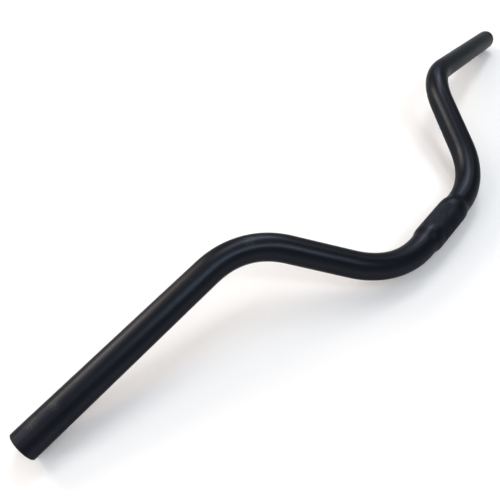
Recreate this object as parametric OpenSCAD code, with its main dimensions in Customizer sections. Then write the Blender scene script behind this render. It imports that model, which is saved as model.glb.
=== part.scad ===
// Riser handlebar for a bicycle: one tube, swaged thinner on both sides of the clamp zone and bent.
// It lies as it comes to rest, on the clamp zone and on both tips. X runs across the bar, Z is up,
// and the origin is the middle of the clamp zone.

/* [Tube] */
// Outside diameter of the grips and risers
grip_d = 22.2; // [20:0.1:24]
// Outside diameter of the clamp zone
clamp_d = 25.4; // [24.5:0.1:32]
// Wall thickness of the grips and risers
wall = 2; // [1.4:0.1:3]
// Wall thickness under the clamp zone
clamp_wall = 2.6; // [1.6:0.1:3.4]
// Chamfer round each end, outside and inside
end_chamfer = 0.5; // [0.2:0.1:0.6]

/* [Clamp zone] */
// Length at the full clamp diameter
clamp_len = 42; // [30:1:50]
// Length of the shoulder on each side, down to the grip diameter
shoulder_len = 12; // [8:1:20]

/* [Rising bend] */
// Bend radius at the tube's centreline
rise_bend_r = 79; // [50:1:120]
// Angle from the clamp zone up into the riser
rise_angle = 54; // [35:1:65]
// Straight length of the riser between its two bends
riser_len = 52; // [20:1:90]

/* [Sweeping bend] */
// Bend radius at the tube's centreline
sweep_bend_r = 70; // [50:1:120]
// Angle between the grip and the clamp zone's axis
sweep_angle = 11.5; // [4:0.5:25]
// Direction of the sweep round the clamp axis, from the rise's own direction
sweep_turn = 93; // [80:1:110]
// Straight length of the grip, up to the cut end
grip_len = 162; // [120:1:200]

/* [Hidden] */
$fn = 96;

grip_r = grip_d / 2;
clamp_r = clamp_d / 2;
clamp_half = clamp_len / 2;
centre_half = clamp_half + shoulder_len;
shoulder_steps = 12;
overrun = 1;
spare_angle = 5;

// Turns are written out with six digits, which leaves most of them a trace too large or too small. Each turn
// of the tube takes the next angle, under 0.1 degrees on, whose sine and cosine still square up to one, so
// that the stretches on both sides of a turn meet without a step.
turn_step = 0.00006;
turn_error = 3e-9;
function six_digits(v) = let (unit = 10 ^ (ceil(log(abs(v))) - 6)) round(v / unit) * unit;
function true_turn(angle) =
    abs(six_digits(cos(angle)) ^ 2 + six_digits(sin(angle)) ^ 2 - 1) < turn_error ? angle
    : true_turn(angle + turn_step);

// Headings of the riser and the grip, with X across, Y along the rise and Z against the sweep
rise_turn = true_turn(rise_angle);
riser_way = [cos(rise_turn), sin(rise_turn), 0];
grip_way = [
    cos(sweep_angle),
    sin(sweep_angle) * cos(sweep_turn),
    -sin(sweep_angle) * sin(sweep_turn)
];

// The sweeping bend, seen in the riser's own frame: how far it turns, and in which plane
riser_side = [-sin(rise_turn), cos(rise_turn), 0];
sweep_bend_angle = true_turn(acos(riser_way * grip_way));
sweep_bend_roll = true_turn(atan2(grip_way.z, riser_side * grip_way));

// Middle of the cut end: the centreline's straights and arcs added up
bend_chord = function(way, to, r, angle)
    r * sin(angle) * way + r * (1 - cos(angle)) * (to - cos(angle) * way) / sin(angle);
tip = [centre_half, 0, 0]
    + bend_chord([1, 0, 0], riser_way, rise_bend_r, rise_turn)
    + riser_len * riser_way
    + bend_chord(riser_way, grip_way, sweep_bend_r, sweep_bend_angle)
    + grip_len * grip_way;

// Tilt of the rise at which the clamp zone and both tips touch the ground together
grip_drop = function(tilt) -(grip_way.y * sin(tilt) + grip_way.z * cos(tilt));
rim_depth = function(tilt) grip_r * sqrt(1 - grip_drop(tilt) ^ 2) - end_chamfer * grip_drop(tilt);
rest_tilt_from = function(tilt, rounds)
    rounds == 0 ? tilt
    : rest_tilt_from(
        asin((rim_depth(tilt) - clamp_r) / norm([tip.y, tip.z])) - atan2(tip.z, tip.y),
        rounds - 1
    );
rest_tilt = rest_tilt_from(20, 6);

// Radius along a shoulder: two equal arcs that meet halfway and run on into both cylinders
function shoulder_arc_r(step) = (shoulder_len ^ 2 + step ^ 2) / (4 * step);
function shoulder_r(along, wide, narrow) =
    let (step = wide - narrow, r = shoulder_arc_r(step), half = shoulder_len / 2)
    along < half ? wide - r + sqrt(r ^ 2 - along ^ 2)
    : narrow + r - sqrt(r ^ 2 - (shoulder_len - along) ^ 2);

// The straight middle: the clamp zone and its two shoulders
module centre_rod(wide, narrow) {
    right_side = [
        for (i = [0 : shoulder_steps])
            let (along = i * shoulder_len / shoulder_steps)
            [shoulder_r(along, wide, narrow), clamp_half + along]
    ];
    left_side = [for (i = [shoulder_steps : -1 : 0]) [right_side[i].x, -right_side[i].y]];
    rotate([0, 90, 0])
        rotate_extrude()
            polygon(concat([[0, -centre_half]], left_side, right_side, [[0, centre_half]]));
}

// A rod bent from +X towards +Y, with its children at its far end. The arc is made a little too long and
// is squared off on the plane from which the next stretch starts, so that the two meet exactly.
module bend(bend_r, angle, rod_r) {
    spare = (bend_r + rod_r) * sin(spare_angle) + overrun;
    side = rod_r + overrun;
    translate([0, bend_r, 0]) {
        difference() {
            rotate([0, 0, -90])
                rotate_extrude(angle = angle + spare_angle)
                    translate([bend_r, 0])
                        circle(rod_r);
            rotate([0, 0, angle])
                translate([0, -bend_r - side, -side])
                    cube([spare, 2 * side, 2 * side]);
        }
        rotate([0, 0, angle])
            translate([0, -bend_r, 0])
                children();
    }
}

// A straight rod along +X, with its children at its far end
module straight(len, rod_r) {
    rotate([0, 90, 0])
        cylinder(h = len, r = rod_r);
    translate([len, 0, 0])
        children();
}

// A ring or disc at a rod's end whose radius runs from one value to another
module flare(len, r_from, r_to) {
    rotate([0, 90, 0])
        cylinder(h = len, r1 = r_from, r2 = r_to);
}

// One side of the bar, from the end of the middle out to the grip, as a solid rod
module side_rod(rod_r, last_len) {
    translate([centre_half, 0, 0])
        bend(rise_bend_r, rise_turn, rod_r)
            straight(riser_len, rod_r)
                rotate([sweep_bend_roll, 0, 0])
                    bend(sweep_bend_r, sweep_bend_angle, rod_r)
                        straight(last_len, rod_r)
                            children();
}

module both_sides() {
    children();
    mirror([1, 0, 0])
        children();
}

module handlebar() {
    bore_r = grip_r - wall;
    color("#15181d")
        rotate([rest_tilt, 0, 0])
            difference() {
                union() {
                    centre_rod(clamp_r, grip_r);
                    both_sides()
                        side_rod(grip_r, grip_len - end_chamfer)
                            flare(end_chamfer, grip_r, grip_r - end_chamfer);
                }
                centre_rod(clamp_r - clamp_wall, bore_r);
                both_sides()
                    side_rod(bore_r, grip_len - end_chamfer)
                        flare(end_chamfer + overrun, bore_r, bore_r + end_chamfer + overrun);
            }
}

handlebar();
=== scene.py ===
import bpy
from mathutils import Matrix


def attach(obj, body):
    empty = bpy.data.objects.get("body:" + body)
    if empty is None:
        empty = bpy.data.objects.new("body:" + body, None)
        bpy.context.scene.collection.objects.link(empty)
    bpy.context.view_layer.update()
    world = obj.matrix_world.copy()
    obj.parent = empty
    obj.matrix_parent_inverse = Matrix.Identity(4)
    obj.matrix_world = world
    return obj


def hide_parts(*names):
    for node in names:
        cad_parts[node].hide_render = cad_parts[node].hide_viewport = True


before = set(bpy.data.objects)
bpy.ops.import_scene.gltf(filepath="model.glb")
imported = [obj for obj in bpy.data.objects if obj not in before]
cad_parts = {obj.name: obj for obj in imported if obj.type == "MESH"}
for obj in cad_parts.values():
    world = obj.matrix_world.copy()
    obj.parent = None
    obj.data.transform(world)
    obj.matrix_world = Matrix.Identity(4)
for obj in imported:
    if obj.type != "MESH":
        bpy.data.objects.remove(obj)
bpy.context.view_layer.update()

import math

import bpy
from mathutils import Matrix, Vector

scene = bpy.context.scene
print("frame loaded")


# shader maths: a Wire is one output socket, and + - * on it add Math nodes
class Wire:
    def __init__(self, shader, socket):
        self.shader, self.socket = shader, socket

    def maths(self, operation, first, second):
        return self.shader.node("ShaderNodeMath", {"operation": operation}, {0: first, 1: second})

    def __add__(self, other):
        return self.maths("ADD", self, other)

    def __sub__(self, other):
        return self.maths("SUBTRACT", self, other)

    def __rsub__(self, other):
        return self.maths("SUBTRACT", other, self)

    def __mul__(self, other):
        return self.maths("MULTIPLY", self, other)

    __radd__ = __add__
    __rmul__ = __mul__


# builds one node tree; node() makes any node from its type, its settings and what goes into its sockets
class Shader:
    def __init__(self, owner):
        owner.use_nodes = True
        self.tree = owner.node_tree
        self.tree.nodes.clear()

    def node(self, kind, settings=None, sockets=None, out=0):
        made = self.tree.nodes.new(kind)
        for name, value in (settings or {}).items():
            if name == "stops":                      # a ramp's stops: (place, colour)
                stops = made.color_ramp.elements
                for i, (place, colour) in enumerate(value):
                    stop = stops[i] if i < len(stops) else stops.new(place)
                    stop.position = place
                    stop.color = (*colour, 1)
            else:
                setattr(made, name, value)
        for name, value in (sockets or {}).items():
            if isinstance(value, Wire):
                self.tree.links.new(value.socket, made.inputs[name])
            else:
                made.inputs[name].default_value = value
        return Wire(self, made.outputs[out]) if made.outputs else made

    def blend(self, factor, first, second):          # two colours, mixed
        return self.node("ShaderNodeMix", {"data_type": "RGBA"}, {0: factor, 6: first, 7: second}, out=2)


def rgb(hexCode):                                    # screen colour to the linear values that nodes take
    parts = [int(hexCode[i:i + 2], 16) / 255 for i in (1, 3, 5)]
    return (*[p / 12.92 if p <= 0.04045 else ((p + 0.055) / 1.055) ** 2.4 for p in parts], 1)


# ---- camera: stands over the right-hand end of the bar and looks along it
camera = {
    "place": (-0.32778, -0.06382, 0.30896),
    "tilt": 40.11,                                   # degrees up from looking straight down
    "turn": -49.21,
    "lens": 35.03,                                   # millimetres, as is the sensor
    "sensor": 36,
    "nearest": 0.01,                                 # metres
}

cameraData = bpy.data.cameras.new("camera")
cameraData.lens = camera["lens"]
cameraData.sensor_width = camera["sensor"]
cameraData.clip_start = camera["nearest"]
cameraObject = bpy.data.objects.new("camera", cameraData)
cameraObject.location = camera["place"]
cameraObject.rotation_euler = (math.radians(camera["tilt"]), 0, math.radians(camera["turn"]))
scene.collection.objects.link(cameraObject)
scene.camera = cameraObject
print("camera placed")


# ---- the tube: lengths in metres, angles in degrees, all as in the part's source
tube = {
    "gripR": 0.0111,
    "clampR": 0.0127,
    "boreR": 0.0091,
    "clampBoreR": 0.0101,
    "chamfer": 0.0005,
    "clampHalf": 0.021,
    "shoulder": 0.012,
    "riseBendR": 0.079,
    "riseAngle": 54.0073,
    "riser": 0.052,
    "planeRoll": -165.995,                           # turns the second bend's plane round the riser
    "sweepBendR": 0.070,
    "sweepAngle": 55.431,
    "grip": 0.162,
    "restTilt": 20.1526,                             # the rise's tilt as the bar lies
    "flattening": 0.0004,                            # how far the inside of a bend draws in
    "bendStep": 0.0025,                              # spacing of the rings in bends, straights and bore
    "straightStep": 0.008,
    "boreStep": 0.004,
    "boreSlack": 0.0003,                             # how far off its step a ring of the bore may lie
    "shoulderSteps": 12,
    "sharpFrom": 35,                                 # edges that turn more than this stay sharp
}
knurl = {
    "starts": 56,                                    # grooves round the bar, each way
    "helix": 30,                                     # degrees from the bar's own direction
    "depth": 0.00030,
    "flatTop": 1.5,                                  # above 1 the diamonds' tops are flat
    "samples": 6,                                    # points across a diamond
    "half": 0.0202,                                  # from the middle to where it has faded away
    "runOut": 0.005,                                 # over which it fades at each end
}
knurlLead = 2 * math.pi * tube["clampR"] / knurl["starts"] / math.tan(math.radians(knurl["helix"]))
knurlPoints = knurl["starts"] * knurl["samples"]     # points round the knurl, the plain tube and the bore
ringPoints = knurlPoints // 3
borePoints = ringPoints // 2
hair = 1e-6                                          # two lengths closer than this are the same


def walk():
    # stations from the bar's middle out to the left tip: distance, place, frame, and where and how far the
    # inside of a bend draws in
    stations = []
    place, along, roll = Vector(), 0.0, 0.0
    turned = Matrix.Rotation(math.radians(tube["restTilt"]), 3, "X")

    def add(where, matrix, drawIn):
        flat = matrix @ Matrix.Rotation(-roll, 3, "X")    # ring frame that doesn't roll with the bend planes
        stations.append((along, where.copy(), flat, roll, drawIn))

    def straight(length, step, last=False):
        nonlocal place, along
        count = max(1, math.ceil(length / step))
        for i in range(count + (1 if last else 0)):
            add(place, turned, 0.0)
            if i < count:
                place = place + turned @ Vector((length / count, 0, 0))
                along += length / count

    def bend(radius, angle):
        nonlocal place, turned, along
        count = math.ceil(radius * math.radians(angle) / tube["bendStep"])
        centre, start = place + turned @ Vector((0, radius, 0)), turned.copy()
        for i in range(count):
            share = i / count
            now = start @ Matrix.Rotation(math.radians(angle) * share, 3, "Z")
            add(centre - now @ Vector((0, radius, 0)), now, math.sin(math.pi * share) ** 2)
            along += radius * math.radians(angle) / count
        turned = start @ Matrix.Rotation(math.radians(angle), 3, "Z")
        place = centre - turned @ Vector((0, radius, 0))

    straight(tube["clampHalf"], knurlLead / knurl["samples"])
    straight(tube["shoulder"], tube["shoulder"] / tube["shoulderSteps"])
    bend(tube["riseBendR"], tube["riseAngle"])
    straight(tube["riser"], tube["straightStep"])
    turned = turned @ Matrix.Rotation(math.radians(tube["planeRoll"]), 3, "X")
    roll = math.radians(tube["planeRoll"])
    bend(tube["sweepBendR"], tube["sweepAngle"])
    straight(tube["grip"] - tube["chamfer"], tube["straightStep"])
    straight(tube["chamfer"], tube["chamfer"], last=True)
    return stations


def bothSides(stations):
    # mirrors the walk across the middle, so that the rings run from the right tip to the left tip
    mirror = Matrix.Diagonal((-1, 1, 1))
    right = []
    for along, place, turned, inside, drawIn in reversed(stations[1:]):
        right.append((-along, mirror @ place, mirror @ turned @ mirror, inside, drawIn))
    return right + stations


def shoulderR(along, wide, narrow):
    # two equal arcs that meet halfway down the shoulder
    length, step = tube["shoulder"], wide - narrow
    arc = (length ** 2 + step ** 2) / (4 * step)
    if along < length / 2:
        return wide - arc + math.sqrt(arc ** 2 - along ** 2)
    return narrow + arc - math.sqrt(arc ** 2 - (length - along) ** 2)


def plainR(along, clampR, gripR):
    past = abs(along) - tube["clampHalf"]
    if past <= 0:
        return clampR
    return shoulderR(past, clampR, gripR) if past < tube["shoulder"] else gripR


def knurlCut(along, turn):
    # depth of the crossing grooves at a place along the bar and a share of a turn round it
    across = []
    for way in (1, -1):
        cell = (knurl["starts"] * turn + way * along / knurlLead) % 1
        across.append(abs(cell - 0.5) * 2)
    height = min(1, (1 - max(across)) * knurl["flatTop"])
    fade = min(1, max(0, (knurl["half"] - abs(along)) / knurl["runOut"]))
    return knurl["depth"] * (1 - height) * fade


def knurledR(along, turn):
    return tube["clampR"] - knurlCut(along, turn)


class Shell:                                         # collects rings of points and the faces between them
    def __init__(self):
        self.points, self.faces, self.uvs, self.last = [], [], [], None

    def ring(self, station, count, radius):
        along, place, turned, inside, drawIn = station
        first = len(self.points)
        for i in range(count):
            turn = i / count
            angle = 2 * math.pi * turn
            r = radius(along, turn) if callable(radius) else radius
            r -= tube["flattening"] * drawIn * max(0, math.cos(angle - inside)) ** 2
            self.points.append(place + turned @ Vector((0, r * math.cos(angle), r * math.sin(angle))))
        now = (first, count, along)
        if self.last:
            self.join(self.last, now)
        self.last = now

    def join(self, a, b):                            # rings of unlike counts meet in faces of more corners
        fewer = min(a[1], b[1])
        for i in range(fewer):
            rim = []
            for (first, count, along), backwards in ((a, False), (b, True)):
                each = count // fewer
                steps = range(each * i, each * (i + 1) + 1)
                for k in reversed(steps) if backwards else steps:
                    rim.append((first + k % count, k / count, along))
            rim.reverse()
            self.faces.append([p[0] for p in rim])
            self.uvs.extend((p[1], p[2]) for p in rim)


def makeBar():
    stations = bothSides(walk())
    shell = Shell()
    beforeTip = stations[-1][0] - hair
    clampEnd = tube["clampHalf"] + hair
    for station in stations:
        along = station[0]
        if abs(along) < clampEnd:
            shell.ring(station, knurlPoints, knurledR)
        else:
            r = plainR(along, tube["clampR"], tube["gripR"])
            shell.ring(station, ringPoints, r - (tube["chamfer"] if abs(along) > beforeTip else 0))
    # round the left tip, back through the bore and round the right tip to the first ring
    firstRing = (0, ringPoints, stations[0][0])
    shell.ring(stations[-1], ringPoints, tube["boreR"] + tube["chamfer"])
    for station in reversed(stations[:-1]):
        along = station[0]
        offStep = abs(round(along / tube["boreStep"]) * tube["boreStep"] - along)
        if abs(along) > beforeTip or (abs(along) < clampEnd and offStep > tube["boreSlack"]):
            continue
        shell.ring(station, borePoints, plainR(along, tube["clampBoreR"], tube["boreR"]))
    shell.ring(stations[0], ringPoints, tube["boreR"] + tube["chamfer"])
    shell.join(shell.last, firstRing)
    mesh = bpy.data.meshes.new("riserBar")
    mesh.from_pydata(shell.points, [], shell.faces)
    layer = mesh.uv_layers.new(name="alongBar")
    for loop, uv in zip(layer.data, shell.uvs):
        loop.uv = uv
    mesh.polygons.foreach_set("use_smooth", [True] * len(mesh.polygons))
    mesh.validate()
    mesh.set_sharp_from_angle(angle=math.radians(tube["sharpFrom"]))
    return bpy.data.objects.new("riserBar", mesh)


bar = makeBar()
scene.collection.objects.link(bar)
print("bar swept:", len(bar.data.vertices), "points,", len(bar.data.polygons), "faces")


# ---- satin black anodising over drawn tube
anodising = {
    "colour": "#292b31",
    "deepColour": "#24262c",
    "cloudScale": 38,                                # how fine the change between the two colours is
    "roughness": 0.36,
    "cloudRoughness": 0.07,                          # spread of roughness over the clouds and the lines
    "lineRoughness": 0.06,
    "lineScale": (160, 14, 1),                       # fine lines along the tube, round it and along it
    "lineHeight": 0.12,
    "grainScale": 2600,
    "grainHeight": 0.10,
    "reliefStrength": 0.25,
    "reliefDepth": 0.0001,
    "speckScale": 1300,
    "speckLevel": 0.48,                              # share of a scuff left whole
    "speckContrast": 6,
    "scuffColour": "#3d4040",
    "scuffRoughness": 0.1,                           # added where it is scuffed
    "scuffs": [                                      # worn specks of the photographed bar: place, reach
        ((-0.3151, 0.1079, 0.0146), 0.0045),
        ((-0.3316, 0.1107, 0.0114), 0.005),
        ((-0.1510, 0.0890, 0.0420), 0.006),
    ],
    "edgeGloss": (0.62, 0.62, 0.62, 1),              # keeps the rims from shining as bare metal does
}

finish = bpy.data.materials.new("blackAnodised")
s = Shader(finish)
barUv = s.node("ShaderNodeUVMap", {"uv_map": "alongBar"})
objectPlace = s.node("ShaderNodeTexCoord", out=3)
lineSpace = s.node("ShaderNodeMapping", None, {"Vector": barUv, "Scale": anodising["lineScale"]})


def noise(vector, scale, detail, coarseness=0.5):
    return s.node("ShaderNodeTexNoise", None, {
        "Vector": vector, "Scale": scale, "Detail": detail, "Roughness": coarseness})


cloud = noise(objectPlace, anodising["cloudScale"], 5, 0.6)
grain = noise(objectPlace, anodising["grainScale"], 2)
specks = noise(objectPlace, anodising["speckScale"], 2)
lines = noise(lineSpace, 1, 4, 0.65)

worn = 0
for place, reach in anodising["scuffs"]:
    away = s.node("ShaderNodeVectorMath", {"operation": "DISTANCE"}, {0: objectPlace, 1: place}, out=1)
    worn = worn + s.node("ShaderNodeMath", {"operation": "MAXIMUM"}, {0: 1 - away * (1 / reach), 1: 0})
speckle = (specks - anodising["speckLevel"]) * anodising["speckContrast"]
scuffed = s.node("ShaderNodeMath", {"operation": "MULTIPLY", "use_clamp": True}, {0: worn * 2, 1: speckle})

baseColour = s.blend(cloud, rgb(anodising["deepColour"]), rgb(anodising["colour"]))
baseColour = s.blend(scuffed, baseColour, rgb(anodising["scuffColour"]))
roughness = anodising["roughness"] + (cloud - 0.5) * anodising["cloudRoughness"]
roughness = roughness + (lines - 0.5) * anodising["lineRoughness"] + scuffed * anodising["scuffRoughness"]
relief = s.node("ShaderNodeBump", None, {
    "Strength": anodising["reliefStrength"], "Distance": anodising["reliefDepth"],
    "Height": grain * anodising["grainHeight"] + lines * anodising["lineHeight"],
})
surface = s.node("ShaderNodeBsdfPrincipled", None, {
    "Base Color": baseColour, "Roughness": roughness, "Normal": relief,
    "Metallic": 1.0, "Specular Tint": anodising["edgeGloss"],
})
s.node("ShaderNodeOutputMaterial", None, {"Surface": surface})
bar.data.materials.append(finish)
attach(bar, "root")
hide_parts("handlebar")
print("finish applied")


# ---- pale floor and studio
studio = {
    "floorSize": 2.4,
    "paper": (0.80, 0.80, 0.80, 1),
    "paperLift": (0.13, 0.13, 0.13, 1),              # what the lens sees added to the lit paper
    "fadeFrom": 0.5,                                 # distance from which the floor turns backdrop white
    "backdrop": (1.0, 1.0, 1.0, 1),                  # what the lens sees behind the floor
    "mirrored": 0.08,                                # share of both that the tube's gloss mirrors
    "sky": [                                         # light of the room by height: sine, colour
        (0.00, (0.28, 0.37, 0.35)),
        (0.18, (0.28, 0.37, 0.35)),
        (0.24, (0.46, 0.48, 0.63)),
        (0.39, (0.46, 0.48, 0.63)),
        (0.46, (0.00, 0.04, 0.09)),
        (0.62, (0.00, 0.04, 0.09)),
        (0.68, (0.35, 0.32, 0.32)),
        (0.84, (0.35, 0.32, 0.32)),
        (0.90, (0.27, 0.34, 0.37)),
        (1.00, (0.27, 0.34, 0.37)),
    ],
    "lampSize": 0.55,
    "lampDistance": 2.0,
    "lamps": [                                       # azimuth, height, power, colour
        (90, 12, 3.4, (1.00, 0.80, 0.53)),
        (90, 28, 4.5, (1.00, 0.80, 0.62)),
        (105, 28, 12.5, (1.00, 0.82, 0.62)),
        (120, 43, 3.0, (0.95, 0.93, 1.00)),
        (150, 12, 5.4, (1.00, 0.97, 0.88)),
        (150, 43, 4.4, (0.92, 0.96, 1.00)),
        (180, 43, 2.6, (1.00, 0.95, 0.89)),
        (195, 28, 3.8, (1.00, 0.77, 0.63)),
        (240, 71, 2.5, (0.80, 0.93, 1.00)),
        (270, 57, 6.2, (0.89, 0.94, 1.00)),
        (0, 43, 1.7, (0.99, 1.00, 0.95)),
        (30, 43, 8.0, (1.00, 1.00, 0.98)),
        (45, 28, 2.7, (0.85, 0.85, 1.00)),
        (60, 71, 1.5, (1.00, 0.90, 0.86)),
        (54, 57, 4.7, (0.95, 0.98, 1.00)),
        (105, 45, 2.0, (1.00, 0.88, 0.61)),
    ],
}


def seenByLens(shader):                              # 1 for the lens, a share for gloss, 0 for plain light
    lens, through, gloss = [shader.node("ShaderNodeLightPath", out=name)
                            for name in ("Is Camera Ray", "Is Transmission Ray", "Is Glossy Ray")]
    return shader.node("ShaderNodeMath", {"operation": "MINIMUM"},
                       {0: lens + through + gloss * studio["mirrored"], 1: 1})


half, ground = studio["floorSize"] / 2, -tube["clampR"]
corners = [(-half, -half, ground), (half, -half, ground), (half, half, ground), (-half, half, ground)]
floorMesh = bpy.data.meshes.new("floor")
floorMesh.from_pydata(corners, [], [(0, 1, 2, 3)])
floor = bpy.data.objects.new("floor", floorMesh)
scene.collection.objects.link(floor)

floorPaper = bpy.data.materials.new("floorPaper")
s = Shader(floorPaper)
paper = s.node("ShaderNodeBsdfDiffuse", None, {"Color": studio["paper"]})
floorPlace = s.node("ShaderNodeTexCoord", out=3)
reach = s.node("ShaderNodeVectorMath", {"operation": "LENGTH"}, {0: floorPlace}, out=1)
farShare = (reach - studio["fadeFrom"]) * (1 / (half - studio["fadeFrom"]))
liftColour = s.blend(farShare, studio["paperLift"], studio["backdrop"])
lift = s.node("ShaderNodeEmission", None, {"Color": liftColour})
lifted = s.node("ShaderNodeAddShader", None, {0: paper, 1: lift})
surface = s.node("ShaderNodeMixShader", None, {0: seenByLens(s), 1: paper, 2: lifted})
s.node("ShaderNodeOutputMaterial", None, {"Surface": surface})
floorMesh.materials.append(floorPaper)

world = bpy.data.worlds.new("studio")
scene.world = world
s = Shader(world)
direction = s.node("ShaderNodeTexCoord", out=0)
height = s.node("ShaderNodeSeparateXYZ", None, {0: direction}, out=2)
sky = s.node("ShaderNodeValToRGB", {"stops": studio["sky"]}, {0: height})
seen = s.blend(seenByLens(s), sky, studio["backdrop"])
surface = s.node("ShaderNodeBackground", None, {"Color": seen})
s.node("ShaderNodeOutputWorld", None, {"Surface": surface})


def softLamp(azimuth, height, power, colour):
    # a round soft lamp that looks at the bar's middle from an azimuth and a height in degrees
    data = bpy.data.lights.new(f"lamp{azimuth}at{height}", "AREA")
    data.shape = "DISK"
    data.size = studio["lampSize"]
    data.energy = power
    data.color = colour
    lamp = bpy.data.objects.new(data.name, data)
    a, h = math.radians(azimuth), math.radians(height)
    way = Vector((math.cos(h) * math.cos(a), math.cos(h) * math.sin(a), math.sin(h)))
    lamp.location = way * studio["lampDistance"]
    lamp.rotation_euler = way.to_track_quat("Z", "Y").to_euler()
    scene.collection.objects.link(lamp)


for lampValues in studio["lamps"]:
    softLamp(*lampValues)
scene.view_settings.view_transform = "Standard"
print("studio lit")
